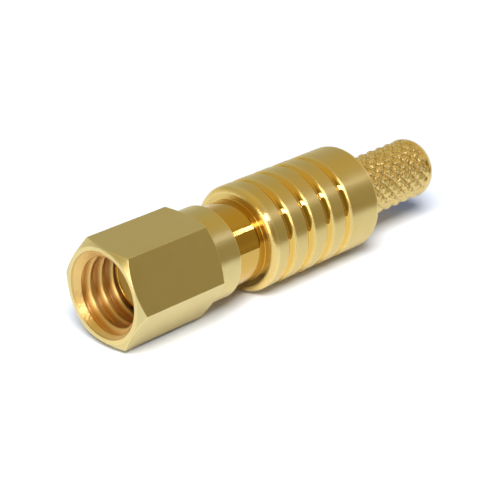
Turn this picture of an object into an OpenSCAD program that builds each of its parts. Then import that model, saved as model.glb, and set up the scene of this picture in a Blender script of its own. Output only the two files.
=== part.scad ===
// Straight cable plug of a small screw-coupled coaxial series.
// The axis is X, the mating end faces -X, and x = 0 is the front of the outer contact.
// Lengths are in millimetres, and the plug lies on the lowest line of its barrel.

/* [Coupling nut] */
// Hexagon across flats
nut_af = 4.76; // [4.7:0.02:5.4]
// Overall length of the nut
nut_l = 6.71; // [6.4:0.01:7.2]
// Length of the hexagon, measured along its flats
hex_l = 5.36; // [4.9:0.02:5.7]
// Diameter of the hexagon's front face, where its corner chamfer starts
hex_face_d = 4.66; // [4.5:0.02:4.7]
// Slope of the chamfers on the hexagon's corners, in degrees from the end faces
hex_chamfer_angle = 30; // [20:1:40]
// Diameter of the round collar behind the hexagon
collar_d = 4.68; // [4.6:0.02:4.7]
// Chamfer on the collar's rear edge
collar_chamfer = 0.06; // [0.03:0.01:0.12]
// How far the nut is turned from lying flat, in degrees
nut_turn = 4.8; // [0:0.2:30]
// How far the nut's front stands ahead of the outer contact
nut_lead = 2.05; // [2.02:0.01:2.4]

/* [Coupling thread] */
// Diameter of the countersunk mouth
mouth_d = 4.28; // [4.18:0.01:4.4]
// Minor diameter of the thread, left as a plain bore
thread_minor_d = 3.5; // [3.4:0.01:3.6]
// Depth from the nut's front to the end of the full thread
thread_depth = 2; // [1.6:0.05:2]
// Length of the cone behind it, in which the thread runs out
thread_runout = 0.5; // [0.3:0.05:0.6]

/* [Contact sleeve and neck] */
// Outside diameter of the contact sleeve
sleeve_d = 3; // [2.8:0.02:3.2]
// Chamfer on the sleeve's front edge
sleeve_chamfer = 0.1; // [0.05:0.01:0.2]
// Diameter of the neck
neck_d = 4.16; // [3.9:0.01:4.2]
// Length of the neck left bare between the nut and the barrel
neck_gap = 1.87; // [1.4:0.01:2]
// Width of the neck's land ahead of the retaining ring
neck_land = 0.3; // [0.25:0.01:0.4]

/* [Retaining ring] */
// Width of the ring along the axis
ring_w = 0.4; // [0.3:0.01:0.5]
// Thickness of the ring
ring_t = 0.3; // [0.25:0.01:0.34]
// Height of the shoulder in the nut that the ring holds
ring_shoulder = 0.13; // [0.1:0.01:0.14]
// Room under the ring for closing it
ring_give = 0.13; // [0.1:0.01:0.2]
// Width of the ring's split
ring_split = 0.6; // [0.4:0.05:1]

/* [Barrel] */
// Diameter of the barrel
barrel_d = 5.42; // [5.2:0.02:5.8]
// Length of the barrel
barrel_l = 7.77; // [7.5:0.01:9]
// Radius of the barrel's front edge
barrel_round = 0.35; // [0.15:0.01:0.4]
// Chamfer on the barrel's rear edge
barrel_chamfer = 0.14; // [0.05:0.01:0.25]
// Number of turned grooves
groove_n = 4; // [2:1:4]
// Distance from the barrel's front to the first groove's middle
groove_start = 1.27; // [0.9:0.01:1.6]
// Distance from groove to groove
groove_pitch = 1.37; // [1.2:0.01:1.45]
// Width of a groove at the barrel's surface
groove_w = 0.56; // [0.4:0.01:0.8]
// Depth of a groove
groove_depth = 0.2; // [0.1:0.01:0.25]

/* [Crimp stem] */
// Thickness of the stem's wall under the knurl's grooves
stem_wall = 0.12; // [0.08:0.01:0.3]
// Length of the stem behind the barrel
stem_l = 5.88; // [5:0.01:7]
// Length of the plain end behind the knurl
stem_land = 0.38; // [0.36:0.01:1]
// Radius of the stem's end edge
stem_round = 0.3; // [0.1:0.01:0.32]
// Number of knurl points around the stem
knurl_n = 14; // [10:1:18]
// Distance between knurl points along the stem
knurl_pitch = 0.71; // [0.5:0.01:1]
// Depth of the knurl
knurl_depth = 0.13; // [0.06:0.01:0.15]
// How far the plain end stands above the knurl's points
stem_land_rise = 0.01; // [0:0.01:0.05]

/* [Bores] */
// Diameter of the outer contact's bore
contact_bore_d = 2.4; // [2.3:0.01:2.6]
// Depth of the outer contact's bore
contact_bore_l = 0.6; // [0.5:0.02:1]
// Diameter of the outer conductor of the 50 ohm line
line_d = 2.08; // [2:0.01:2.12]
// Distance from the barrel's front to the insulator's shoulder
seat_offset = 0.4; // [0.2:0.02:1]
// Diameter of the insulator's seat
seat_d = 2.36; // [2.3:0.01:2.4]
// Length of the insulator's seat
seat_l = 4.6; // [3.8:0.02:5]
// Diameter of the cable bore
cable_bore_d = 2.7; // [2.6:0.01:3.1]

/* [Insulator and centre contact] */
// How far the insulator's front stands behind the outer contact's bore
insulator_front_inset = 0.1; // [0.05:0.01:0.3]
// How far the insulator's rear face stands inside its seat
insulator_inset = 0.1; // [0.05:0.01:0.3]
// Depth from the insulator's shoulder to the contact's shoulder
contact_shoulder = 0.4; // [0.3:0.02:0.8]
// How far the contact's tip stands behind the insulator's front
contact_inset = 0.1; // [0.05:0.01:0.3]
// Diameter of the socket, which sets the line's impedance
socket_d = 0.62; // [0.56:0.01:0.7]
// Diameter of the hole for the mating pin
socket_hole_d = 0.42; // [0.36:0.01:0.46]
// Depth of the hole for the mating pin
socket_hole_l = 2.4; // [2:0.05:3]
// Width of the slot across the socket
socket_slot_w = 0.1; // [0.06:0.01:0.12]
// Length of the slot across the socket
socket_slot_l = 1.8; // [1.2:0.05:1.95]
// Diameter of the room in which the socket's fingers spread
finger_room_d = 0.78; // [0.74:0.01:0.9]
// How far that room runs past the hole for the mating pin
finger_room_past = 0.7; // [0.55:0.05:1]
// Diameter of the solder cup
cup_d = 1.3; // [1.2:0.01:1.6]
// Diameter of the cup's hole for the cable's inner wire
cup_hole_d = 0.94; // [0.8:0.01:1]
// Depth of the cup's hole
cup_hole_l = 2.6; // [2:0.05:2.8]
// Diameter of the solder hole in the cup's side
solder_hole_d = 0.5; // [0.3:0.01:0.6]
// Point angle of the drill for the contact's holes, in degrees
drill_angle = 118; // [90:1:140]

/* [Clearances] */
// Radial clearance of the nut on the neck
neck_clear = 0.04; // [0.02:0.01:0.06]
// Radial clearance of the ring in the nut
ring_clear = 0.02; // [0.01:0.01:0.04]
// Clearance on each side of the ring along the axis
ring_side_clear = 0.02; // [0.01:0.01:0.04]
// Clearance left between the nut and what stops it
stop_clear = 0.08; // [0.04:0.01:0.12]
// Radial clearance of the insulator and of the contact in their bores
seat_clear = 0.01; // [0.005:0.005:0.02]

/* [Hidden] */
$fn = 96;
GOLD = [0.83, 0.69, 0.35];
BRONZE = [0.72, 0.52, 0.28];
PTFE = [0.95, 0.95, 0.93];
// How far a cutter passes the face that it opens
cut = 0.2;
// Steps in an arc of a turned profile
arc_steps = 8;
hex_sides = 6;

// Places along the axis, from the mating end
nut_x = -nut_lead;
barrel_x = nut_x + nut_l + neck_gap;
barrel_end = barrel_x + barrel_l;
stem_end = barrel_end + stem_l;
knurl_end = stem_end - stem_land;
nut_travel = neck_gap - stop_clear;
cavity_x = nut_x + thread_depth + thread_runout;
neck_x = cavity_x + nut_travel + stop_clear;
ring_groove_x = neck_x + neck_land;
ring_x = ring_groove_x + ring_side_clear;
ring_groove_end = ring_x + ring_w + ring_side_clear;
seat_x = barrel_x + seat_offset;
seat_end = seat_x + seat_l;
insulator_x = contact_bore_l + insulator_front_inset;
insulator_end = seat_end - insulator_inset;
socket_x = insulator_x + contact_inset;
finger_room_end = socket_x + socket_hole_l + finger_room_past;
cup_x = seat_x + contact_shoulder;
cup_end = insulator_end - contact_inset;

// Radii
hex_corner_r = nut_af / 2 / cos(180 / hex_sides);
nut_bore_r = neck_d / 2 + neck_clear;
cavity_r = nut_bore_r + ring_shoulder;
ring_r = cavity_r - ring_clear;
ring_groove_r = ring_r - ring_t - ring_give;
knurl_root_r = cable_bore_d / 2 + stem_wall;
knurl_r = knurl_root_r + knurl_depth;
stem_land_r = knurl_r + stem_land_rise;
// The stem's core stays under the flat chords between the knurl's roots
stem_core_r = (knurl_root_r * cos(90 / knurl_n) + cable_bore_d / 2) / 2;

// A groove's circle cuts the barrel groove_w wide and groove_depth deep
groove_r = (groove_w * groove_w / 4 + groove_depth * groove_depth) / (2 * groove_depth);
groove_ring_r = barrel_d / 2 - groove_depth + groove_r;

// How far the knurl runs into the barrel, and into the plain end
knurl_lap = 0.4;
knurl_over = 0.11;
// Knurl rows lie half a pitch apart
knurl_x = barrel_end - knurl_lap;
knurl_l = knurl_end + knurl_over - knurl_x;
knurl_rows = round(knurl_l * 2 / knurl_pitch);
knurl_row = knurl_l / knurl_rows;

// Height of a corner chamfer that runs from radius r out to the hexagon's corners
function chamfer_h(r) = (hex_corner_r - r) * tan(hex_chamfer_angle);

// Points [radius, place] of an arc about c, from angle a0 to a1
function arc(c, r, a0, a1) =
    [for (i = [0:arc_steps]) let (a = a0 + (a1 - a0) * i / arc_steps) c + r * [cos(a), sin(a)]];

// Lays what is built along z on the plug's axis, starting at x
module on_axis(x) {
    translate([x, 0, 0]) rotate([0, 90, 0]) children();
}

// A round bar on the axis from x0 to x1
module bar(x0, x1, d) {
    on_axis(x0) cylinder(h = x1 - x0, d = d);
}

// A drilled hole on the axis: its mouth is at x0, and the drill's cone passes x1
module drilled(x0, x1, d) {
    depth = abs(x1 - x0);
    translate([x0, 0, 0]) rotate([0, x1 > x0 ? 90 : -90, 0]) rotate_extrude() polygon([
        [0, -cut],
        [d / 2, -cut],
        [d / 2, depth],
        [0, depth + d / 2 / tan(drill_angle / 2)]
    ]);
}

// The hexagon with its corners chamfered at both ends
module hexagon() {
    intersection() {
        rotate([0, 0, 180 / hex_sides + nut_turn])
            cylinder(h = hex_l, r = hex_corner_r, $fn = hex_sides);
        rotate_extrude() polygon([
            [0, 0],
            [hex_face_d / 2, 0],
            [hex_corner_r, chamfer_h(hex_face_d / 2)],
            [hex_corner_r, hex_l - chamfer_h(collar_d / 2)],
            [collar_d / 2, hex_l],
            [0, hex_l]
        ]);
    }
}

// The round collar, which runs into the hexagon and ends in a chamfer
module collar() {
    rotate_extrude() polygon([
        [0, hex_l / 2],
        [collar_d / 2, hex_l / 2],
        [collar_d / 2, nut_l - collar_chamfer],
        [collar_d / 2 - collar_chamfer, nut_l],
        [0, nut_l]
    ]);
}

module coupling_nut() {
    countersink = (mouth_d - thread_minor_d) / 2;
    color(GOLD) difference() {
        on_axis(nut_x) union() {
            hexagon();
            collar();
        }
        // Countersunk mouth and thread bore
        on_axis(nut_x) cylinder(h = countersink, d1 = mouth_d, d2 = thread_minor_d);
        bar(nut_x - cut, nut_x + nut_l / 2, thread_minor_d);
        // Cavity that passes over the ring, from the thread's run-out to the shoulder behind the ring
        on_axis(nut_x + thread_depth)
            cylinder(h = thread_runout, d1 = thread_minor_d, d2 = 2 * cavity_r);
        bar(cavity_x, ring_groove_end, 2 * cavity_r);
        // Bearing on the neck
        bar(nut_x + nut_l / 2, nut_x + nut_l + cut, 2 * nut_bore_r);
    }
}

module retaining_ring() {
    color(BRONZE) difference() {
        bar(ring_x, ring_x + ring_w, 2 * ring_r);
        bar(ring_x - cut, ring_x + ring_w + cut, 2 * (ring_r - ring_t));
        translate([ring_x + ring_w / 2, 0, ring_r])
            cube([ring_w + 2 * cut, ring_split, 2 * ring_r], center = true);
    }
}

// Outline of the turned body, from the sleeve's front to the stem's end
module body_profile() {
    polygon(concat(
        [
            [0, 0],
            [sleeve_d / 2 - sleeve_chamfer, 0],
            [sleeve_d / 2, sleeve_chamfer],
            [sleeve_d / 2, neck_x],
            [neck_d / 2, neck_x],
            [neck_d / 2, ring_groove_x],
            [ring_groove_r, ring_groove_x],
            [ring_groove_r, ring_groove_end],
            [neck_d / 2, ring_groove_end],
            [neck_d / 2, barrel_x]
        ],
        arc([barrel_d / 2 - barrel_round, barrel_x + barrel_round], barrel_round, -90, 0),
        [
            [barrel_d / 2, barrel_end - barrel_chamfer],
            [barrel_d / 2 - barrel_chamfer, barrel_end],
            [stem_core_r, barrel_end],
            [stem_core_r, knurl_end],
            [stem_land_r, knurl_end]
        ],
        arc([stem_land_r - stem_round, stem_end - stem_round], stem_round, 0, 90),
        [[0, stem_end]]
    ));
}

// Diamond knurl: roots and points alternate along each row and from row to row, so that every
// point is a pyramid and the grooves between them cross at the roots
module knurl() {
    n = 2 * knurl_n;
    points = [
        for (row = [0:knurl_rows], i = [0:n - 1])
            let (r = (i + row) % 2 == 1 ? knurl_root_r : knurl_r, a = i * 360 / n)
                [r * cos(a), r * sin(a), row * knurl_row]
    ];
    sides = [
        for (row = [0:knurl_rows - 1], i = [0:n - 1])
            let (
                a = row * n + i,
                b = row * n + (i + 1) % n,
                c = b + n,
                d = a + n,
                root_first = (i + row) % 2 == 1
            )
                each root_first ? [[a, c, b], [a, d, c]] : [[a, d, b], [b, d, c]]
    ];
    ends = [[for (i = [0:n - 1]) i], [for (i = [n - 1:-1:0]) knurl_rows * n + i]];
    polyhedron(points, concat(sides, ends));
}

module connector_body() {
    color(GOLD) difference() {
        union() {
            on_axis(0) rotate_extrude() body_profile();
            on_axis(knurl_x) knurl();
        }
        for (i = [0:groove_n - 1])
            on_axis(barrel_x + groove_start + i * groove_pitch)
                rotate_extrude() translate([groove_ring_r, 0]) circle(r = groove_r);
        bar(-cut, contact_bore_l, contact_bore_d);
        bar(0, seat_end, line_d);
        bar(seat_x, seat_end, seat_d);
        bar(seat_end, stem_end + cut, cable_bore_d);
    }
}

module insulator() {
    color(PTFE) difference() {
        union() {
            bar(insulator_x, seat_x + cut, line_d - 2 * seat_clear);
            bar(seat_x, insulator_end, seat_d - 2 * seat_clear);
        }
        bar(insulator_x - cut, finger_room_end, finger_room_d);
        bar(insulator_x, insulator_end, socket_d + 2 * seat_clear);
        bar(cup_x, insulator_end + cut, cup_d + 2 * seat_clear);
    }
}

module centre_contact() {
    solder_hole_x = cup_end - cup_hole_l / 2;
    color(GOLD) difference() {
        union() {
            bar(socket_x, cup_x + cut, socket_d);
            bar(cup_x, cup_end, cup_d);
        }
        drilled(socket_x, socket_x + socket_hole_l, socket_hole_d);
        translate([socket_x - cut, -socket_slot_w / 2, -socket_d])
            cube([socket_slot_l + cut, socket_slot_w, 2 * socket_d]);
        drilled(cup_end, cup_end - cup_hole_l, cup_hole_d);
        translate([solder_hole_x, 0, 0]) cylinder(h = cup_d, d = solder_hole_d);
    }
}

coupling_nut();
retaining_ring();
connector_body();
insulator();
centre_contact();
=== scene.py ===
"""Looks of a small screw-coupled coaxial cable plug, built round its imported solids.

The plug's axis is X, its mating end faces -X and +Z is up. Sizes in the classes are in millimetres,
and meshes are in metres. Every new skin is a grid: its rows run along a section through the axis,
and its columns run round the axis.
"""

import logging
import math
from dataclasses import dataclass
from enum import Enum

import bpy
import numpy as np
from mathutils import Matrix, Vector


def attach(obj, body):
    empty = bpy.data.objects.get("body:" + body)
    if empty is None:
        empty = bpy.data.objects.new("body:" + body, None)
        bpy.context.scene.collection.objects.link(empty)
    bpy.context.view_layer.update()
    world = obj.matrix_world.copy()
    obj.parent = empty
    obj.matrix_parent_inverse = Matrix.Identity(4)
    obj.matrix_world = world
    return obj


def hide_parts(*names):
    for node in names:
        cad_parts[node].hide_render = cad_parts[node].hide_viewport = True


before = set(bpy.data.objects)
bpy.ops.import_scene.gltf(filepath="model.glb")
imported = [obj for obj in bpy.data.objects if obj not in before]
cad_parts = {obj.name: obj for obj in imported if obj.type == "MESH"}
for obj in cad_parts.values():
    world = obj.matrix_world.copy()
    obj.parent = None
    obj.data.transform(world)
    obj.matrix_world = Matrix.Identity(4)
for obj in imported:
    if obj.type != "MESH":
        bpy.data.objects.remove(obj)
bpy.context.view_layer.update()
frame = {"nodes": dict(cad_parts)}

MM = 0.001
NEAR = 0.01  # lengths that differ by less count as the same, in millimetres
GUARD_SHARE = 0.3  # of a straight side, at most, lies between an arc and its guard point
QUARTER_TURN = 0.25
log = logging.getLogger("plug")

Array = np.ndarray
Node = bpy.types.Node
Socket = bpy.types.NodeSocket
Pair = tuple[float, float]
Triple = tuple[float, float, float]
Value = Socket | float | tuple[float, ...]
Corner = tuple[Array | float, Array | float, float]


class Body(str, Enum):
    """The bodies that the new skins ride on."""

    PLUG = "body"
    NUT = "nut"


class Slot(str, Enum):
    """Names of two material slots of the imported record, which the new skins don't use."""

    NUT_GOLD = "nut_gold"
    BODY_GOLD = "body_gold"


class Trait(str, Enum):
    """Names of the values that a skin carries at its points, from 0 to 1."""

    # On edges, the nut's front face, the knurl and the stem's plain end: a paler colour of wear
    # with a painted sheen.
    EDGE = "edge"
    # On the nut this share brings a painted orange of light bouncing in the mouth and thread, not a
    # polish.
    POLISH_AND_BOUNCE = "polish"
    GRIT = "grit"
    # A painted shade: darker colour in the knurl's pits, along the nut's mouth edge and on the
    # neck.
    PAINTED_SHADE = "painted_shade"


def smooth(t: Array) -> Array:
    """Eases a value from 0 to 1: three times its square less twice its cube.

    Args:
        t: Values, which are first held between 0 and 1.

    Returns:
        The eased values.
    """
    t = np.clip(t, 0.0, 1.0)
    return t * t * (3.0 - 2.0 * t)


def unit(v: Array) -> Array:
    """Vectors of length one along the last axis."""
    return v / np.linalg.norm(v, axis=-1, keepdims=True)


def opaque(colour: Triple) -> tuple[float, ...]:
    """The colour with full cover."""
    return (*colour, 1.0)


def rounded(places: list[Corner], steps: int, guard: float = 0.03) -> tuple[Array, Array]:
    """An open outline whose inner corners are rounded.

    Each corner becomes an arc that touches both of its sides: the arc starts at the radius divided
    by the tangent of half the corner's angle, and its points turn evenly from side to side. A point
    on each side of the arc, a short guard away, keeps the flat faces flat when they are shaded.

    Args:
        places: Each corner's place along the axis, distance out from it and radius. Arrays of
            places or distances stand for as many outlines.
        steps: Steps in each arc.
        guard: Largest distance from an arc to its guard point.

    Returns:
        The outline's points (..., m, 2), and m values that are 1 on the arcs and 0 elsewhere.
    """
    x, out, radii = (np.stack(np.broadcast_arrays(*column), -1) for column in zip(*places))
    corners, radii = np.stack([x, out], -1), radii[1:-1]
    here, back, ahead = corners[..., 1:-1, :], corners[..., :-2, :], corners[..., 2:, :]
    to_back, to_ahead = unit(back - here), unit(ahead - here)
    half = np.arccos(np.clip((to_back * to_ahead).sum(-1), -1.0, 1.0)) / 2.0
    reach = radii / np.tan(half)
    centre = here + unit(to_back + to_ahead) * (radii / np.sin(half))[..., None]
    start = here + to_back * reach[..., None] - centre
    end = here + to_ahead * reach[..., None] - centre
    turn = (math.pi - 2.0 * half)[..., None, None]
    s = np.linspace(0.0, 1.0, steps + 1)[:, None]
    arcs = centre[..., None, :] + (
        np.sin((1.0 - s) * turn) * start[..., None, :] + np.sin(s * turn) * end[..., None, :]
    ) / np.sin(turn)
    sides = np.linalg.norm(np.diff(corners, axis=-2), axis=-1)
    none = np.zeros_like(reach[..., :1])
    full = np.concatenate([none, reach, none], -1)
    free = np.minimum(guard, GUARD_SHARE * (sides - full[..., :-1] - full[..., 1:]))
    before = here + to_back * (reach + free[..., :-1])[..., None]
    after = here + to_ahead * (reach + free[..., 1:])[..., None]
    groups = np.concatenate([before[..., None, :], arcs, after[..., None, :]], -2)
    chain = groups.reshape(*groups.shape[:-3], -1, 2)
    points = np.concatenate([corners[..., :1, :], chain, corners[..., -1:, :]], -2)
    on_arc = np.zeros((radii.shape[-1], steps + 3))
    on_arc[:, 1:-1] = 1.0
    return points, np.concatenate([[0.0], on_arc.ravel(), [0.0]])


@dataclass
class Skin:
    """A surface on a grid that closes both along its section and round the axis.

    Attributes:
        along: Places (rows, columns) along the axis, in millimetres.
        out: Distances (rows, columns) from the axis, in millimetres.
        angle: Angles (columns) from +Y towards +Z, in radians.
        traits: Values (rows, columns) carried by the points.
    """

    along: Array
    out: Array
    angle: Array
    traits: dict[Trait, Array]

    def build(self, name: str) -> bpy.types.Object:
        """Puts the grid into a mesh, with each face turned outwards.

        A point stands at its place along X, and at its distance out times the cosine and the sine
        of its column's angle along Y and Z.

        Args:
            name: Name of the new object.

        Returns:
            The object, linked to the scene.
        """
        rows, columns = self.out.shape
        points = np.stack(
            [self.along, self.out * np.cos(self.angle), self.out * np.sin(self.angle)], -1
        )
        r, c = np.meshgrid(np.arange(rows), np.arange(columns), indexing="ij")
        r1, c1 = (r + 1) % rows, (c + 1) % columns
        corners = [r * columns + c, r * columns + c1, r1 * columns + c1, r1 * columns + c]
        faces = np.stack(corners, -1)
        mesh = bpy.data.meshes.new(name)
        mesh.vertices.add(rows * columns)
        mesh.vertices.foreach_set("co", (points * MM).astype(np.float32).ravel())
        mesh.loops.add(faces.size)
        mesh.loops.foreach_set("vertex_index", faces.astype(np.int32).ravel())
        mesh.polygons.add(rows * columns)
        mesh.polygons.foreach_set("loop_start", np.arange(0, faces.size, 4, dtype=np.int32))
        mesh.polygons.foreach_set("use_smooth", np.ones(rows * columns, bool))
        mesh.update(calc_edges=True)
        mesh.validate()
        for trait, values in self.traits.items():
            layer = mesh.attributes.new(trait.value, "FLOAT", "POINT")
            spread = np.broadcast_to(values, (rows, columns)).astype(np.float32)
            layer.data.foreach_set("value", spread.ravel())
        piece = bpy.data.objects.new(name, mesh)
        bpy.context.scene.collection.objects.link(piece)
        log.info("%s: %d points, %d triangles", name, rows * columns, 2 * rows * columns)
        return piece


class Graph:
    """A shader's nodes, with short ways to add and join them."""

    def __init__(self, owner: bpy.types.Material | bpy.types.World) -> None:
        """Starts on the nodes that a material or a world is made with.

        Args:
            owner: The material or the world.
        """
        owner.use_nodes = True
        self.owner = owner
        self.tree = owner.node_tree

    @property
    def shader(self) -> Node:
        """The Principled shader of a new material."""
        return self.tree.nodes["Principled BSDF"]

    def add(self, kind: str, inputs: dict[str, Value] | None = None, **settings: str) -> Node:
        """Adds a node.

        Args:
            kind: Blender's name of the node's type.
            inputs: What goes into its sockets, by name.
            settings: Values for the node's properties.

        Returns:
            The node.
        """
        node = self.tree.nodes.new(kind)
        for key, value in settings.items():
            setattr(node, key, value)
        for name, value in (inputs or {}).items():
            self.feed(node.inputs[name], value)
        return node

    def feed(self, socket: Socket, value: Value) -> None:
        """Joins an output to a socket, or sets the socket's own value.

        Args:
            socket: The socket.
            value: The output, or the value.
        """
        if isinstance(value, bpy.types.NodeSocket):
            self.tree.links.new(value, socket)
        else:
            socket.default_value = value

    def fill(self, node: Node, values: tuple[Value, ...]) -> Socket:
        """Feeds a node's sockets in order.

        Args:
            node: The node.
            values: What goes into its sockets.

        Returns:
            The node's first output.
        """
        for socket, value in zip(node.inputs, values):
            self.feed(socket, value)
        return node.outputs[0]

    def shade(self, name: str, value: Value) -> None:
        """Feeds the Principled shader's socket of that name."""
        self.feed(self.shader.inputs[name], value)

    def surface(self, kind: str, **values: Value) -> None:
        """Puts a plainer shader in the place of the Principled shader.

        Args:
            kind: Blender's name of the shader's type.
            values: What goes into its sockets, by name.
        """
        self.tree.nodes.remove(self.shader)
        shader = self.add(kind, values)
        self.feed(self.tree.nodes["Material Output"].inputs["Surface"], shader.outputs[0])

    def math(self, operation: str, *values: Socket | float) -> Socket:
        """Adds a Math node.

        Args:
            operation: The node's operation.
            values: What goes into its sockets, in order.

        Returns:
            The node's output.
        """
        return self.fill(self.add("ShaderNodeMath", operation=operation), values)

    def ramp(self, value: Socket, span: Pair, ends: Pair = (0.0, 1.0)) -> Socket:
        """Maps a span of values to another, and holds what lies outside at its ends.

        Args:
            value: The value.
            span: First and last value of the span.
            ends: What these two become.

        Returns:
            The mapped value.
        """
        return self.fill(self.add("ShaderNodeMapRange"), (value, *span, *ends))

    def blend(self, share: Socket, a: Socket | Triple, b: Socket | Triple) -> Socket:
        """Mixes two colours.

        Args:
            share: Share of the second colour.
            a: First colour.
            b: Second colour.

        Returns:
            The mixed colour.
        """
        node = self.add("ShaderNodeMix", data_type="RGBA")
        self.feed(node.inputs[0], share)
        for place, colour in ((6, a), (7, b)):
            self.feed(node.inputs[place], opaque(colour) if isinstance(colour, tuple) else colour)
        return node.outputs[2]

    def bump(self, height: Socket, distance: float) -> None:
        """Raises the shader's surface.

        Args:
            height: Height of each place, in units of the distance.
            distance: The distance, in metres.
        """
        inputs = {"Strength": 1.0, "Distance": distance, "Height": height}
        self.shade("Normal", self.add("ShaderNodeBump", inputs).outputs["Normal"])

    def trait(self, trait: Trait) -> Socket:
        """The output of a value that the skin carries."""
        return self.add("ShaderNodeAttribute", attribute_name=trait.value).outputs["Fac"]

    def noise(self, stretch: Triple, detail: float) -> Socket:
        """Noise on Object coordinates, whose grain is one millimetre divided by the stretch.

        Args:
            stretch: Grains to the millimetre along X, Y and Z.
            detail: Number of finer layers.

        Returns:
            A value from 0 to 1.
        """
        where = self.add("ShaderNodeTexCoord").outputs["Object"]
        scale = tuple(s / MM for s in stretch)
        grain = self.add("ShaderNodeMapping", {"Vector": where, "Scale": scale}).outputs["Vector"]
        inputs = {"Vector": grain, "Scale": 1.0, "Detail": detail}
        return self.add("ShaderNodeTexNoise", inputs).outputs["Fac"]


@dataclass(frozen=True)
class Plating:
    """Gold plate on turned brass.

    The plate is satin where it was left as plated and polished where the skin says so; on the nut
    that share instead brings a painted orange of light bouncing in the mouth and thread, and a
    little more roughness. Edges carry wear with a painted sheen, and a painted shade darkens the
    knurl's pits, the nut's mouth edge and the neck. The satin skin spreads a highlight along the
    axis, across its tool marks.

    Attributes:
        name: Name of the material.
        tint: Reflected colour of the satin skin.
        deep: Reflected colour of its redder patches.
        bright: Reflected colour of the polished skin; on the nut, a painted orange of light
            bouncing in the mouth and thread.
        worn_and_sheen: Reflected colour along the rounded edges: wear with a painted sheen.
        satin: Roughness of the satin skin.
        polished: Roughness of the polished skin.
        spread: How far the satin skin spreads a highlight along the axis, from 0 to 1.
        lines: Tool marks to the millimetre along X, Y and Z.
        relief: Height of the tool marks, in millimetres.
        grain: How far the tool marks change the satin's roughness.
        cloud: Redder patches to the millimetre.
        haze: How far the patches dull the polished skin.
        wear_and_sheen: Share of that worn and painted-sheen colour on an edge.
        burr: Height of the burrs where the skin is gritty, in millimetres.
        burrs: Burrs to the millimetre.
        painted_shade: Painted shade colour, darkest at the bottom of pits.
    """

    name: str
    tint: Triple
    deep: Triple
    bright: Triple
    worn_and_sheen: Triple
    satin: float
    polished: float
    spread: float
    lines: Triple
    relief: float = 0.0003
    grain: float = 0.1
    cloud: float = 0.9
    haze: float = 0.04
    wear_and_sheen: float = 0.6
    burr: float = 0.085
    burrs: float = 8.0
    painted_shade: Triple = (0.2, 0.11, 0.035)

    def material(self) -> bpy.types.Material:
        """Builds the material.

        The colour goes from tint to deep with the patches, and on to the polished skin's (on the
        nut a painted bounce orange), the edges' wear with a painted sheen and the painted shade's
        colour with the values that the skin carries. The roughness follows the polish. The relief
        is that of the tool marks where nothing is polished, plus the burrs.

        Returns:
            The material.
        """
        g = Graph(bpy.data.materials.new(self.name))
        polish, edge = g.trait(Trait.POLISH_AND_BOUNCE), g.trait(Trait.EDGE)
        cloud = g.noise((self.cloud,) * 3, detail=3.0)
        marks = g.noise(self.lines, detail=1.0)
        base = g.blend(cloud, self.tint, self.deep)
        # On the nut the bright colour is a painted orange of light bouncing in the mouth and
        # thread.
        base = g.blend(polish, base, self.bright)
        # Wear with a painted sheen: a paler colour on edges, the nut's front face and the knurl.
        base = g.blend(g.math("MULTIPLY", edge, self.wear_and_sheen), base, self.worn_and_sheen)
        # Painted shade: a dark colour in the knurl's pits, along the nut's mouth edge and on the
        # neck.
        g.shade("Base Color", g.blend(g.trait(Trait.PAINTED_SHADE), base, self.painted_shade))
        satin = g.math("MULTIPLY_ADD", g.math("SUBTRACT", marks, 0.5), self.grain, self.satin)
        polished = g.math("MULTIPLY_ADD", cloud, self.haze, self.polished)
        step = g.math("SUBTRACT", polished, satin)
        g.shade("Roughness", g.math("MULTIPLY_ADD", polish, step, satin))
        g.shade("Anisotropic", self.spread)
        g.shade("Anisotropic Rotation", QUARTER_TURN)
        round_axis = g.add("ShaderNodeTangent", direction_type="RADIAL", axis="X")
        g.shade("Tangent", round_axis.outputs[0])
        g.shade("Metallic", 1.0)
        burrs = g.noise((self.burrs,) * 3, detail=2.0)
        burrs = g.math("MULTIPLY", g.math("MULTIPLY", burrs, g.trait(Trait.GRIT)), self.burr)
        lines = g.math("MULTIPLY", marks, g.math("SUBTRACT", 1.0, polish))
        g.bump(g.math("MULTIPLY_ADD", lines, self.relief, burrs), MM)
        return g.owner


@dataclass(frozen=True)
class SpringBronze:
    """Bare rolled bronze, with streaks along the strip.

    Attributes:
        name: Name of the material.
        tint: Reflected colour of the bright streaks.
        dull: Reflected colour of the dull streaks.
        streaks: Streaks to the millimetre along X, Y and Z.
        rough: Roughness of the bright streaks, and what the dull ones add to it.
    """

    name: str = "spring_bronze"
    tint: Triple = (0.52, 0.31, 0.13)
    dull: Triple = (0.36, 0.2, 0.09)
    streaks: Triple = (9.0, 2.0, 2.0)
    rough: Pair = (0.25, 0.2)

    def material(self) -> bpy.types.Material:
        """Builds the material.

        Returns:
            The material.
        """
        g = Graph(bpy.data.materials.new(self.name))
        streak = g.noise(self.streaks, detail=3.0)
        g.shade("Base Color", g.blend(streak, self.tint, self.dull))
        g.shade("Roughness", g.math("MULTIPLY_ADD", streak, self.rough[1], self.rough[0]))
        g.shade("Metallic", 1.0)
        return g.owner


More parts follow.
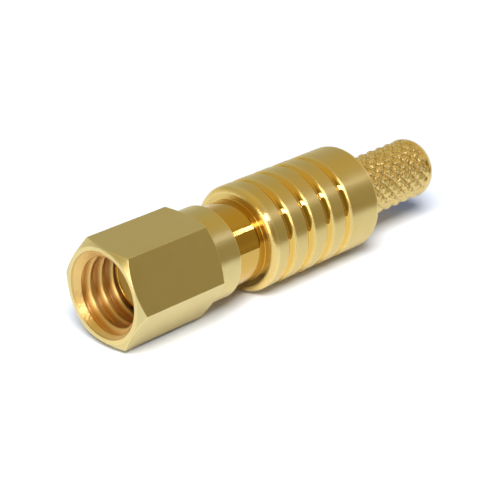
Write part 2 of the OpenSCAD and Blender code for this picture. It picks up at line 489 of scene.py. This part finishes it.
@dataclass(frozen=True)
class TurnedPtfe:
    """Waxy white PTFE with faint turning rings.

    Attributes:
        name: Name of the material.
        tint: Colour of the lighter rings.
        shadow: Colour of the darker rings.
        rings: Rings to the millimetre along X, Y and Z.
        rough: Roughness of the lighter rings, and what the darker ones add to it.
        relief: Height of the rings, in millimetres.
        glow: Share of the light that spreads under the skin.
        reach: How far red, green and blue light spread there, in millimetres.
    """

    name: str = "turned_ptfe"
    tint: Triple = (0.82, 0.82, 0.79)
    shadow: Triple = (0.74, 0.74, 0.71)
    rings: Triple = (14.0, 0.6, 0.6)
    rough: Pair = (0.42, 0.15)
    relief: float = 0.002
    glow: float = 0.15
    reach: Triple = (0.4, 0.4, 0.35)

    def material(self) -> bpy.types.Material:
        """Builds the material.

        Returns:
            The material.
        """
        g = Graph(bpy.data.materials.new(self.name))
        rings = g.noise(self.rings, detail=2.0)
        g.shade("Base Color", g.blend(rings, self.tint, self.shadow))
        g.shade("Roughness", g.math("MULTIPLY_ADD", rings, self.rough[1], self.rough[0]))
        g.shade("Subsurface Weight", self.glow)
        g.shade("Subsurface Radius", self.reach)
        g.shade("Subsurface Scale", MM)
        g.bump(rings, self.relief * MM)
        return g.owner


SATIN, SATIN_DEEP = (0.665, 0.55, 0.245), (0.635, 0.51, 0.21)
# The second colour is edge wear with a painted sheen.
POLISHED, WORN_AND_SHEEN = (0.7, 0.45, 0.1), (0.87, 0.68, 0.28)
BODY_SATIN, BODY_DEEP = (0.67, 0.53, 0.21), (0.64, 0.49, 0.18)
# A painted orange of gold light bouncing inside the nut's mouth and thread.
THREAD_BOUNCE = (0.92, 0.52, 0.13)
DRAWN, TURNED = (1.5, 34.0, 34.0), (40.0, 0.8, 0.8)
# The nut's bright colour is the painted bounce orange, and its polished roughness is rougher than
# its satin.
NUT_PLATE = Plating(
    "nut_plate", SATIN, SATIN_DEEP, THREAD_BOUNCE, WORN_AND_SHEEN,
    satin=0.36, polished=0.42, spread=0.78, lines=DRAWN,
)
BODY_PLATE = Plating(
    "body_plate", BODY_SATIN, BODY_DEEP, POLISHED, WORN_AND_SHEEN,
    satin=0.38, polished=0.045, spread=0.78, lines=TURNED,
)
CONTACT_PLATE = Plating(
    "contact_plate", SATIN, SATIN_DEEP, POLISHED, WORN_AND_SHEEN,
    satin=0.3, polished=0.1, spread=0.9, lines=TURNED,
)


@dataclass
class CouplingNut:
    """Hexagon coupling nut with its collar, its countersunk mouth and its thread.

    Lengths are in millimetres, and depths count from the nut's front. Fields in _d are diameters,
    fields in _round are radii of edges, and the painted bounce, grit, painted shade and painted
    sheen go from 0 to 1.

    Attributes:
        front: Place of the nut's front along X.
        hexagon: Depth at which the collar follows the hexagon.
        slope: Length of a chamfer for each millimetre that it rises.
        turn: Angle of the first corner from +Y, in degrees.
        flat_points: Even points across a flat.
        flat_reach: How far the even points and their guards reach to a flat's ends, as shares.
        lip: Depth of the section's first point in the mouth.
        thread_start: Depth of the outermost row of the countersink.
        groove_place: Depth at which a groove of the thread is deepest.
        groove_angle: Angle of that place from +Y, in degrees.
        groove_half: Half the width of a groove, in pitches.
        groove_flank: Width of its flank, in pitches.
        crest_bounce: Share of the painted bounce orange on the thread's crests. Its grooves have
            the full share.
    """

    front: float = -2.05
    length: float = 6.71
    flats: float = 4.76
    hexagon: float = 5.36
    face_d: float = 4.66
    slope: float = math.tan(math.radians(30.0))
    collar_d: float = 4.68
    collar_chamfer: float = 0.06
    turn: float = 4.8
    corner_round: float = 0.035
    corner_points: int = 7
    flat_points: int = 19
    flat_reach: Pair = (0.93, 0.985)
    mouth_d: float = 4.28
    lip: float = 0.05
    minor_d: float = 3.5
    major_d: float = 4.17
    pitch: float = 0.7056
    thread_depth: float = 2.5
    thread_start: float = 0.07
    thread_rows: int = 92
    groove_place: float = 0.53
    groove_angle: float = -25.0
    groove_half: float = 0.39
    groove_flank: float = 0.34
    cavity_d: float = 4.5
    cavity_end: float = 5.11
    bore_d: float = 4.24
    steps: int = 5
    edge_round: float = 0.03
    flat_round: float = 0.025
    foot_round: float = 0.012
    bore_round: float = 0.02
    # Shares of the painted bounce orange on the thread's crests and in the countersink.
    crest_bounce: float = 0.5
    mouth_bounce: float = 0.45
    mouth_grit: float = 0.25
    # Painted shade: a dark line along the mouth's rounded edge.
    lip_shade: float = 0.25
    # Painted sheen: a paler colour on the front face.
    face_sheen: float = 0.9

    def columns(self) -> tuple[Array, Array]:
        """Points round a hexagon with rounded corners.

        Each corner is an arc of 60 degrees about a centre that stands (half the width less the
        radius) divided by the cosine of 30 degrees from the axis, and straight flats join the arcs.
        A point is a complex number, with Y as its real and Z as its imaginary part.

        Returns:
            The columns' angles and their distances from the axis.
        """
        away = (self.flats / 2 - self.corner_round) / math.cos(math.pi / 6)
        corner = np.radians(self.turn) + np.arange(6)[:, None] * math.pi / 3
        swing = np.linspace(-math.pi / 6, math.pi / 6, self.corner_points)[None, :]
        arc = away * np.exp(1j * corner) + self.corner_round * np.exp(1j * (corner + swing))
        even, guard = self.flat_reach
        across = np.linspace(-even, even, self.flat_points)
        across = np.concatenate([[-guard], across, [guard]])[None, :] * away / 2
        flat = (self.flats / 2 + 1j * across) * np.exp(1j * (corner + math.pi / 6))
        ring = np.concatenate([arc, flat], 1).ravel()
        return np.angle(ring), np.abs(ring)

    def outside(self, hexagon: Array) -> tuple[Array, Array]:
        """Section of each column from the mouth's edge round the outside to the end of the thread.

        The chamfers are cones, and a column's flat starts and ends where the cones reach its own
        distance from the axis.

        Args:
            hexagon: Distance of each column's flat from the axis.

        Returns:
            Points (columns, rows, 2), and the rows' edge values.
        """
        face, collar, mouth = self.face_d / 2, self.collar_d / 2, self.mouth_d / 2
        first = (hexagon - face) * self.slope
        last = self.hexagon - (hexagon - collar) * self.slope
        cavity, bore = self.cavity_d / 2, self.bore_d / 2
        places = [
            (self.lip, mouth - self.lip, 0.0),
            (0.0, mouth, self.edge_round),
            (0.0, face, self.flat_round),
            (first, hexagon, self.flat_round),
            (last, hexagon, self.flat_round),
            (self.hexagon, collar, self.foot_round),
            (self.length - self.collar_chamfer, collar, self.edge_round),
            (self.length, collar - self.collar_chamfer, self.edge_round),
            (self.length, bore, self.edge_round),
            (self.cavity_end, bore, self.bore_round),
            (self.cavity_end, cavity, self.bore_round),
            (self.thread_depth, cavity, self.bore_round),
            (self.thread_depth, self.major_d / 2 + self.bore_round, 0.0),
        ]
        return rounded(places, self.steps)

    def thread(self, angle: Array) -> tuple[Array, Array, Array]:
        """The right-hand thread from its inner end out to the mouth.

        The distance from the axis is the larger of the countersink's cone and the thread. The
        thread is an eased, flat-topped triangle wave of the place along the axis less one pitch a
        turn. The share of the painted orange of light bouncing in the thread grows with the depth
        of the groove, and the countersink has its own.

        Args:
            angle: Angles of the columns.

        Returns:
            Depths (rows), distances from the axis and the painted bounce share (rows, columns).
        """
        rows = np.linspace(self.thread_depth, self.thread_start, self.thread_rows)
        lead = self.pitch * (angle - math.radians(self.groove_angle)) / (2.0 * math.pi)
        phase = (rows[:, None] - self.groove_place - lead[None, :]) / self.pitch
        off = np.abs(phase - np.round(phase))
        depth = smooth((self.groove_half - off) / self.groove_flank)
        minor, major = self.minor_d / 2, self.major_d / 2
        wall = minor + (major - minor) * depth
        cone = self.mouth_d / 2 - rows[:, None]
        # Painted bounce: the orange grows with the groove's depth, and the countersink has its own
        # share.
        polish = self.crest_bounce + (1.0 - self.crest_bounce) * depth
        return rows, np.maximum(wall, cone), np.where(wall > cone, polish, self.mouth_bounce)

    def build(self) -> bpy.types.Object:
        """Builds the nut's closed skin: the outer section's rows, then those of the thread.

        The mouth's rounded edge has the countersink's painted bounce orange and a little painted
        shade, the front face, which lies between the guard rows after that edge, has a painted
        sheen, and the other edges have wear with a painted sheen.

        Returns:
            The skin's object.
        """
        angle, hexagon = self.columns()
        section, edge = self.outside(hexagon)
        rows, wall, polish = self.thread(angle)
        along = np.concatenate([section[..., 0].T, np.repeat(rows[:, None], len(angle), 1)])
        out = np.concatenate([section[..., 1].T, wall])
        row = np.arange(len(out))[:, None]
        lip, face = row < self.steps + 2, (row == self.steps + 3) | (row == self.steps + 4)
        edge = np.concatenate([edge, np.zeros(len(rows))])[:, None]
        behind = ((section.shape[1], 0), (0, 0))
        # The front face gets the painted sheen, the other edges wear with a painted sheen, and the
        # mouth's edge the painted bounce orange and a painted shade.
        traits = {
            Trait.EDGE: np.where(face, self.face_sheen, np.where(lip, 0.0, edge)),
            Trait.POLISH_AND_BOUNCE: np.where(lip, self.mouth_bounce, np.pad(polish, behind)),
            Trait.GRIT: np.pad(self.mouth_grit * (polish == self.mouth_bounce), behind),
            Trait.PAINTED_SHADE: np.where(lip, self.lip_shade, 0.0),
        }
        return Skin(along + self.front, out, angle, traits).build("coupling_nut_skin")

    def dress(self, piece: bpy.types.Object) -> None:
        """Plates the nut and hangs it on its body.

        Args:
            piece: The nut's skin.
        """
        piece.data.materials.append(NUT_PLATE.material())
        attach(piece, Body.NUT.value)
        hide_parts("coupling_nut")


@dataclass
class ConnectorBody:
    """Turned body: contact sleeve, neck, grooved barrel and knurled crimp stem.

    Lengths are in millimetres, and places count along the axis from the sleeve's front. Fields in
    _d are diameters, fields in _round are radii of edges, and finishes go from 0 to 1.

    Attributes:
        inner_steps: Steps in each rounded edge of the bores and the stem's end.
        end_reach: How far the finish of the barrel's ends reaches along it, and how far it fades.
        end_foot: How far above the neck that finish starts, and how far it grows.
        end_dull: Share of the polish that the ends lack.
        groove_start: Distance of the first groove from the barrel's front.
        groove_lean: Angle of a groove's sides from the axis, in degrees.
        groove_skin: How far under the barrel's skin the polish starts, and how far it grows.
        knurl_start: Place at which two grooves of the knurl cross at angle 0.
        knurl_mound: Share of the height that sinks only where grooves cross.
        stem_round: Length of the stem's rounded end.
        stem_slope: Place of that end's middle corner, back from the end and in from the skin.
        stem_rounds: Radii at the start of the rounded end and at its middle corner.
        land_step: Step from the knurl to the plain end, along and in.
        bore_polish: Polish of the bores, and the length over which it grows from the stem's end.
        mouth_reach: How far behind the sleeve's mouth its full polish reaches.
    """

    columns: int = 196
    steps: int = 6
    inner_steps: int = 3
    edge_round: float = 0.03
    small_round: float = 0.02
    contact_bore_d: float = 2.4
    contact_bore_l: float = 0.6
    mouth_round: float = 0.04
    mouth_land: float = 0.06
    line_d: float = 2.08
    sleeve_d: float = 3.0
    sleeve_chamfer: float = 0.1
    sleeve_root: float = 0.05
    neck_start: float = 2.32
    neck_d: float = 4.16
    neck_fillet: float = 0.03
    # Painted shade on the neck between the collar and the barrel.
    neck_painted_shade: float = 0.25
    ring_groove: Pair = (2.62, 3.06)
    ring_groove_d: float = 3.6
    barrel_start: float = 6.53
    barrel_end: float = 14.3
    barrel_d: float = 5.42
    barrel_round: float = 0.35
    barrel_grit: float = 0.08
    barrel_chamfer: float = 0.14
    rear_rounds: Pair = (0.2, 0.06)
    end_reach: Pair = (0.7, 0.1)
    end_foot: Pair = (0.02, 0.04)
    end_dull: float = 0.5
    grooves: int = 4
    groove_start: float = 1.27
    groove_pitch: float = 1.37
    groove_w: float = 0.56
    groove_lean: float = 65.0
    groove_round: float = 0.29
    groove_lip: float = 0.03
    groove_skin: Pair = (0.02, 0.05)
    stem_end: float = 20.18
    stem_gap: float = 0.03
    knurl_end: float = 19.8
    knurl_d: float = 3.2
    knurl_depth: float = 0.17
    knurl_points: int = 14
    knurl_pitch: float = 0.7071
    knurl_start: float = 13.9
    knurl_rows: int = 116
    knurl_sharp: float = 8.0
    knurl_mound: float = 0.4
    knurl_fade: float = 0.45
    knurl_polish: float = 0.45
    pit_height: float = 0.4
    # Painted shade in the knurl's pits.
    pit_shade: float = 0.95
    stem_round: float = 0.3
    stem_slope: Pair = (0.06, 0.11)
    stem_rounds: Pair = (0.2, 0.12)
    land_step: float = 0.02
    land_polish: float = 0.5
    cable_bore_d: float = 2.7
    seat: Pair = (6.93, 11.53)
    seat_d: float = 2.36
    bore_polish: Pair = (0.6, 0.2)
    mouth_reach: float = 0.1

    def outside(self) -> tuple[Array, Array]:
        """Section from the sleeve's front face to the foot of the knurl.

        A groove is a corner that points inwards, rounded almost up to its lips.

        Returns:
            Points (rows, 2) and their edge values.
        """
        barrel, neck, sleeve = self.barrel_d / 2, self.neck_d / 2, self.sleeve_d / 2
        first, last = self.ring_groove
        ring, small = self.ring_groove_d / 2, self.small_round
        half = self.groove_w / 2
        dip = half * math.tan(math.radians(self.groove_lean))
        front = [
            (0.0, (self.contact_bore_d / 2 + sleeve - self.sleeve_chamfer) / 2, 0.0),
            (0.0, sleeve - self.sleeve_chamfer, self.edge_round),
            (self.sleeve_chamfer, sleeve, self.edge_round),
            (self.neck_start, sleeve, self.sleeve_root),
            (self.neck_start, neck, self.edge_round),
            (first, neck, small),
            (first, ring, small),
            (last, ring, small),
            (last, neck, small),
            (self.barrel_start, neck, self.neck_fillet),
            (self.barrel_start, barrel, self.barrel_round),
        ]
        at = self.barrel_start + self.groove_start + np.arange(self.grooves) * self.groove_pitch
        grooves = [
            row
            for x in at
            for row in (
                (x - half, barrel, self.groove_lip),
                (x, barrel - dip, self.groove_round),
                (x + half, barrel, self.groove_lip),
            )
        ]
        rear = [
            (self.barrel_end - self.barrel_chamfer, barrel, self.rear_rounds[0]),
            (self.barrel_end, barrel - self.barrel_chamfer, self.rear_rounds[1]),
            (self.barrel_end, self.knurl_d / 2 + self.stem_gap, 0.0),
        ]
        return rounded(front + grooves + rear, self.steps)

    def knurl(self, angle: Array) -> tuple[Array, Array, Array, Array]:
        """The diamond knurl on the stem.

        Two sets of grooves run round the stem both ways, and each has a sine that is 0 in its
        grooves and 1 between them. The height of a place is a share of a soft smaller of the two
        sines, which gives pyramids with rounded edges, plus a share of their sum less their
        product, which is 0 only in the pits where grooves cross. The grooves run out before the
        plain end. A painted shade lies in the pits, and grit fades out with the grooves.

        Args:
            angle: Angles of the columns.

        Returns:
            Places along the axis (rows), distances from the axis, painted shade and grit (rows,
            columns).
        """
        rows = np.linspace(self.barrel_end, self.knurl_end, self.knurl_rows)
        turn = self.knurl_points * angle[None, :] / (2.0 * math.pi)
        run = (rows[:, None] - self.knurl_start) / self.knurl_pitch
        one, two = (
            np.sin(math.pi * np.abs(way - np.round(way))) for way in (turn + run, turn - run)
        )
        sharp, share = self.knurl_sharp, self.knurl_mound
        pyramid = -np.log(np.exp(-sharp * one) + np.exp(-sharp * two)) / sharp
        pyramid = (pyramid - pyramid.min()) / (pyramid.max() - pyramid.min())
        mound = one + two - one * two
        height = (1.0 - share) * pyramid + share * mound
        fade = smooth((self.knurl_end - rows) / self.knurl_fade)[:, None]
        out = self.knurl_d / 2 - self.knurl_depth * (1.0 - height) * fade
        # Painted shade in the pits where the grooves cross.
        painted_shade = smooth((self.pit_height - mound) / self.pit_height) * self.pit_shade * fade
        return rows, out, painted_shade, fade * np.ones_like(out)

    def inside(self) -> tuple[Array, Array]:
        """Section from the plain end of the stem through the bores back to the sleeve's front.

        Returns:
            Points (rows, 2) and their edge values.
        """
        land, cable = self.knurl_d / 2 - self.land_step, self.cable_bore_d / 2
        seat, line, mouth = self.seat_d / 2, self.line_d / 2, self.contact_bore_d / 2
        first, last = self.seat
        back, drop = self.stem_slope
        small = self.small_round
        places = [
            (self.knurl_end + self.land_step, land, 0.0),
            (self.stem_end - self.stem_round, land, self.stem_rounds[0]),
            (self.stem_end - back, land - drop, self.stem_rounds[1]),
            (self.stem_end, cable, small),
            (last, cable, small),
            (last, seat, small),
            (first, seat, small),
            (first, line, small),
            (self.contact_bore_l, line, small),
            (self.contact_bore_l, mouth, small),
            (0.0, mouth, self.mouth_round),
            (0.0, mouth + self.mouth_land, 0.0),
        ]
        return rounded(places, self.inner_steps)

    def ends(self, outer: Array) -> Array:
        """How far each outer row belongs to the barrel's ends: its end faces and front edge.

        The value is the eased height above the neck times the eased distance from where the
        barrel's ends begin.

        Args:
            outer: Points (rows, 2) of the outer section.

        Returns:
            Values (rows) from 0 to 1.
        """
        half = (self.barrel_end - self.barrel_start) / 2
        reach, fade = self.end_reach
        foot, grow = self.end_foot
        off = np.abs(outer[:, 0] - self.barrel_start - half)
        above = outer[:, 1] - self.neck_d / 2
        return smooth((above - foot) / grow) * smooth((off - half + reach) / fade)

    def polish(self, outer: Array, ends: Array, inner: Array) -> Array:
        """Polish of the body's rows.

        Neck and grooves are polished, the barrel's skin is satin and its ends lie between. The
        knurl and the stem's plain end have levels of their own. The bores are polished in part,
        and the sleeve's mouth in full.

        Args:
            outer: Points (rows, 2) of the outer section.
            ends: How far its rows belong to the barrel's ends.
            inner: Points (rows, 2) of the inner section.

        Returns:
            Values (all rows) from 0 to 1.
        """
        start, grow = self.groove_skin
        skin = smooth((self.barrel_d / 2 - start - outer[:, 1]) / grow)
        skin *= 1.0 - self.end_dull * ends
        knurl = np.full(self.knurl_rows, self.knurl_polish)
        level, rise = self.bore_polish
        bores = level * smooth((self.knurl_end - inner[:, 0]) / rise)
        bores = np.where(inner[:, 0] < self.contact_bore_l + self.mouth_reach, 1.0, bores)
        bores = np.where(inner[:, 0] > self.knurl_end, self.land_polish, bores)
        return np.concatenate([skin, knurl, bores])

    def build(self) -> bpy.types.Object:
        """Builds the body's closed skin: the outer section's rows, the knurl's, then the inner.

        Edges, the knurl and the stem's plain end have wear with a painted sheen as far as they
        aren't polished. A painted shade darkens the neck, and the barrel's front edge is a little
        gritty.

        Returns:
            The skin's object.
        """
        angle = np.arange(self.columns) * 2.0 * math.pi / self.columns
        outer, outer_edge = self.outside()
        rows, wall, pits, grit = self.knurl(angle)
        inner, inner_edge = self.inside()
        wide = np.ones((1, self.columns))
        along = np.concatenate([outer[:, :1] * wide, rows[:, None] * wide, inner[:, :1] * wide])
        out = np.concatenate([outer[:, 1:] * wide, wall, inner[:, 1:] * wide])
        # The stem's plain end, like the knurl, gets the full paler colour of wear with a painted
        # sheen.
        inner_edge = np.where(inner[:, 0] > self.knurl_end, 1.0, inner_edge)
        edge = np.concatenate([outer_edge, np.ones(len(rows)), inner_edge])[:, None]
        ends = self.ends(outer)
        polish = self.polish(outer, ends, inner)[:, None]
        neck = np.abs(outer[:, 1] - self.neck_d / 2) < NEAR
        # Painted shade on the neck behind its ring groove.
        neck_shade = self.neck_painted_shade * (neck & (outer[:, 0] > self.ring_groove[1]))
        front = outer[:, 0] < self.barrel_start + self.barrel_round
        rim = self.barrel_grit * outer_edge * front * ends
        ahead = ((0, len(inner)), (0, 0))
        # Edges carry wear with a painted sheen; the neck and the knurl's pits carry painted shade.
        traits = {
            Trait.EDGE: edge * (1.0 - polish),
            Trait.POLISH_AND_BOUNCE: polish,
            Trait.PAINTED_SHADE: np.pad(np.concatenate([neck_shade[:, None] * wide, pits]), ahead),
            Trait.GRIT: np.pad(np.concatenate([rim[:, None] * wide, grit]), ahead),
        }
        return Skin(along, out, angle, traits).build("connector_body_skin")

    def dress(self, piece: bpy.types.Object) -> None:
        """Plates the body and hangs it on its own frame.

        Args:
            piece: The body's skin.
        """
        piece.data.materials.append(BODY_PLATE.material())
        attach(piece, Body.PLUG.value)
        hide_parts("connector_body")


@dataclass
class InnerParts:
    """Ring, insulator and centre contact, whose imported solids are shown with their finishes."""

    ring: str = "retaining_ring"
    insulator: str = "insulator"
    contact: str = "centre_contact"

    def dress(self, nodes: dict[str, bpy.types.Object]) -> None:
        """Gives each solid its finish.

        Args:
            nodes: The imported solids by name.
        """
        finishes = {
            self.ring: SpringBronze().material(),
            self.insulator: TurnedPtfe().material(),
            self.contact: CONTACT_PLATE.material(),
        }
        for name, material in finishes.items():
            nodes[name].data.materials.clear()
            nodes[name].data.materials.append(material)
            log.info("%s: %s", name, material.name)


class Use(Enum):
    """What a lamp is there for."""

    LIGHT = "light"
    MIRROR = "mirror"
    BOTH = "both"


DAYLIGHT = (0.88, 0.95, 1.35)


@dataclass(frozen=True)
class SoftLamp:
    """An evenly bright rectangle.

    Attributes:
        name: Name of the lamp.
        way: Direction of the lamp from the plug, which it faces.
        far: Its distance, in millimetres.
        width: Its width along the plug's axis, in millimetres.
        height: Its height round the plug's axis, in millimetres.
        radiance: Its brightness, where 1 is a white card under plain light.
        shift: How far it is then moved along the plug's axis, in millimetres.
        use: Whether it lights the table, is mirrored by the metal, or both.
        colour: Colour of its light.
    """

    name: str
    way: Triple
    far: float
    width: float
    height: float
    radiance: float
    shift: float = 9.0
    use: Use = Use.BOTH
    colour: Triple = (1.0, 1.0, 1.0)


@dataclass
class Studio:
    """White table, soft light and the camera of the photograph.

    Lengths are in millimetres. A span gives the shares of a direction between which something
    sets in.

    Attributes:
        clip: Nearest and farthest place that the camera sees, in metres.
        flag: Brightness of the card.
        flag_from: Where the card starts, to the picture's right of the origin.
        flag_to: How far it reaches from there, away from the camera.
        dome: Brightness of the dome that metal mirrors.
        dome_floor: Brightness of the dome that lights the table.
        dome_back: What a direction to the back adds to the mirrored dome.
        dome_top: What a direction upwards adds to it.
        dome_shade: Colour of the dome that lights the table.
        dome_warm: Colour of the mirrored dome to the front.
        dome_plain: Its colour to the back and at the tail.
        gap: Direction of the gap in the mirrored dome.
        gap_dim: Share of the brightness that the gap lacks.
        tail: What the dome's tail, towards +X, adds to it.
        backdrop: What the low backdrop, towards +Y, adds to it.
    """

    floor_z: float = -2.71
    floor_half: float = 2000.0
    floor_points: int = 9
    picture_px: float = 480.0
    focal_px: float = 1711.16
    sensor: float = 36.0
    clip: Pair = (0.001, 10.0)
    eye: Triple = (-47.80, -52.93, 33.82)
    right: Triple = (0.69516, -0.71886, 0.0)
    up: Triple = (0.2926, 0.28295, 0.91343)
    white: Triple = (0.945, 0.965, 0.99)
    flag: float = 0.39
    flag_from: float = 24.0
    flag_to: float = 28.0
    flag_points: int = 3
    flag_lift: float = 0.05
    dome: float = 0.552
    dome_floor: float = 0.17
    dome_back: float = -0.02
    dome_top: float = 0.1
    dome_shade: Triple = (0.7, 0.9, 1.38)
    dome_warm: Triple = (1.1, 0.87, 0.34)
    dome_plain: Triple = (1.02, 1.0, 0.82)
    plain_span: Pair = (0.1, 0.7)
    gap: Triple = (0.0, -0.9, 0.43)
    gap_span: Pair = (0.6, 0.85)
    gap_dim: float = 0.9
    tail: float = 0.3
    tail_span: Pair = (0.78, 0.92)
    backdrop: float = 0.4
    back_span: Pair = (0.35, 0.75)
    low_span: Pair = (0.05, 0.45)
    lamps: tuple[SoftLamp, ...] = (
        SoftLamp(
            "key", (-0.46, -0.42, 0.78), far=1600.0, width=760.0, height=760.0, radiance=18.4,
            use=Use.LIGHT,
        ),
        SoftLamp(
            "strip", (0.0, -0.66, 0.75), far=750.0, width=1680.0, height=120.0, radiance=6.2,
            shift=-670.0, use=Use.MIRROR, colour=DAYLIGHT,
        ),
        SoftLamp(
            "front", (-0.95, -0.2, 0.22), far=400.0, width=220.0, height=220.0, radiance=2.7,
        ),
        SoftLamp(
            "spark", (0.657, -0.511, 0.555), far=400.0, width=1.6, height=60.0, radiance=44.0,
            use=Use.MIRROR, colour=DAYLIGHT,
        ),
    )

    def camera(self) -> None:
        """Makes the camera at the photograph's place and angle."""
        data = bpy.data.cameras.new("camera")
        data.sensor_fit = "HORIZONTAL"
        data.sensor_width = self.sensor
        data.lens = self.sensor * self.focal_px / self.picture_px
        data.clip_start, data.clip_end = self.clip
        camera = bpy.data.objects.new("camera", data)
        right, up = Vector(self.right), Vector(self.up)
        turn = Matrix((right, up, right.cross(up))).transposed().to_4x4()
        camera.matrix_world = Matrix.Translation(Vector(self.eye) * MM) @ turn
        bpy.context.scene.collection.objects.link(camera)
        bpy.context.scene.camera = camera

    def sheet(self, name: str, u: Array, v: Array, z: float, side: Pair) -> bpy.types.Object:
        """Makes a flat grid.

        A point stands at u times the side's direction plus v times the direction to its left.

        Args:
            name: Name of the new object.
            u: Places along the side.
            v: Places to its left.
            z: Height.
            side: The side's direction along X and Y.

        Returns:
            The object, linked to the scene.
        """
        wide, deep = np.meshgrid(u, v, indexing="xy")
        x, y = wide * side[0] - deep * side[1], wide * side[1] + deep * side[0]
        points = np.stack([x, y, np.full_like(x, z)], -1).reshape(-1, 3) * MM
        row, column = np.meshgrid(np.arange(len(v) - 1), np.arange(len(u) - 1), indexing="ij")
        a = row * len(u) + column
        faces = np.stack([a, a + 1, a + len(u) + 1, a + len(u)], -1).reshape(-1, 4)
        mesh = bpy.data.meshes.new(name)
        mesh.from_pydata(points.tolist(), [], faces.tolist())
        sheet = bpy.data.objects.new(name, mesh)
        bpy.context.scene.collection.objects.link(sheet)
        return sheet

    def floor(self) -> None:
        """Makes the table, whose own colour gives the picture's white and keeps the shadow."""
        places = np.linspace(-self.floor_half, self.floor_half, self.floor_points)
        table = self.sheet("table", places, places, self.floor_z, (1.0, 0.0))
        g = Graph(bpy.data.materials.new("table_white"))
        g.surface("ShaderNodeBsdfDiffuse", Color=opaque(self.white))
        table.data.materials.append(g.owner)

    def card(self) -> None:
        """Lays a dim warm card, which only metal mirrors, to the right of the picture."""
        half, n = self.floor_half, self.flag_points
        u, v = np.linspace(self.flag_from, half, n), np.linspace(-half, self.flag_to, n)
        card = self.sheet("card", u, v, self.floor_z + self.flag_lift, self.right[:2])
        g = Graph(bpy.data.materials.new("card_dim"))
        g.surface("ShaderNodeEmission", Color=opaque(self.dome_warm), Strength=self.flag)
        card.data.materials.append(g.owner)
        for rays in ("camera", "diffuse", "shadow", "transmission"):
            setattr(card, f"visible_{rays}", False)

    def lamp(self, lamp: SoftLamp) -> None:
        """Hangs a lamp, with its width along the plug's axis and its height round it.

        Args:
            lamp: The lamp.
        """
        data = bpy.data.lights.new(lamp.name, "AREA")
        data.shape = "RECTANGLE"
        data.size, data.size_y = lamp.width * MM, lamp.height * MM
        data.energy = lamp.radiance * math.pi * data.size * data.size_y
        data.color = lamp.colour
        out = Vector(lamp.way).normalized()
        over = out.cross(Vector((1.0, 0.0, 0.0))).normalized()
        turn = Matrix((over.cross(out), over, out)).transposed().to_4x4()
        piece = bpy.data.objects.new(lamp.name, data)
        place = out * lamp.far + Vector((lamp.shift, 0.0, 0.0))
        piece.matrix_world = Matrix.Translation(place * MM) @ turn
        piece.visible_glossy = lamp.use is not Use.LIGHT
        piece.visible_diffuse = lamp.use is not Use.MIRROR
        bpy.context.scene.collection.objects.link(piece)

    def world(self) -> None:
        """Makes the dome, which lights the table evenly and which metal mirrors in another way.

        The mirrored brightness is a constant plus shares of the direction's Y and Z, less most of
        it in the gap, plus the tail and the low backdrop. The mirrored colour goes from warm to
        plain towards the back and at the tail.
        """
        world = bpy.data.worlds.new("dome")
        bpy.context.scene.world = world
        g = Graph(world)
        way = g.add("ShaderNodeTexCoord").outputs["Generated"]
        x, y, z = g.add("ShaderNodeSeparateXYZ", {"Vector": way}).outputs
        towards = g.add("ShaderNodeVectorMath", operation="DOT_PRODUCT")
        g.fill(towards, (way, self.gap))
        gap = g.ramp(towards.outputs["Value"], self.gap_span, (1.0, 1.0 - self.gap_dim))
        tail = g.ramp(x, self.tail_span)
        back = g.ramp(y, self.back_span, (0.0, self.backdrop))
        low = g.ramp(z, self.low_span, (1.0, 0.0))
        strength = g.math("MULTIPLY_ADD", y, self.dome_back, self.dome - self.dome_floor)
        strength = g.math("MULTIPLY_ADD", z, self.dome_top, strength)
        strength = g.math("MULTIPLY", strength, gap)
        strength = g.math("MULTIPLY_ADD", tail, self.tail, strength)
        strength = g.math("MULTIPLY_ADD", back, low, strength)
        plain = g.math("MAXIMUM", g.ramp(y, self.plain_span), tail)
        tone = g.blend(plain, self.dome_warm, self.dome_plain)
        glossy = g.add("ShaderNodeLightPath").outputs["Is Glossy Ray"]
        strength = g.math("MULTIPLY_ADD", strength, glossy, self.dome_floor)
        background = g.tree.nodes["Background"].inputs
        g.feed(background["Color"], g.blend(glossy, self.dome_shade, tone))
        g.feed(background["Strength"], strength)

    def build(self) -> None:
        """Makes the camera, the table, the dome and the lamps, and sets the plain view."""
        self.camera()
        self.floor()
        self.card()
        self.world()
        for lamp in self.lamps:
            self.lamp(lamp)
        bpy.context.scene.view_settings.view_transform = "Standard"


def main() -> None:
    """Builds the studio and each sub-assembly in order."""
    logging.basicConfig(level=logging.INFO, format="%(name)s: %(message)s")
    Studio().build()
    for part in (CouplingNut(), ConnectorBody()):
        part.dress(part.build())
    InnerParts().dress(frame["nodes"])


if __name__ == "__main__":
    main()
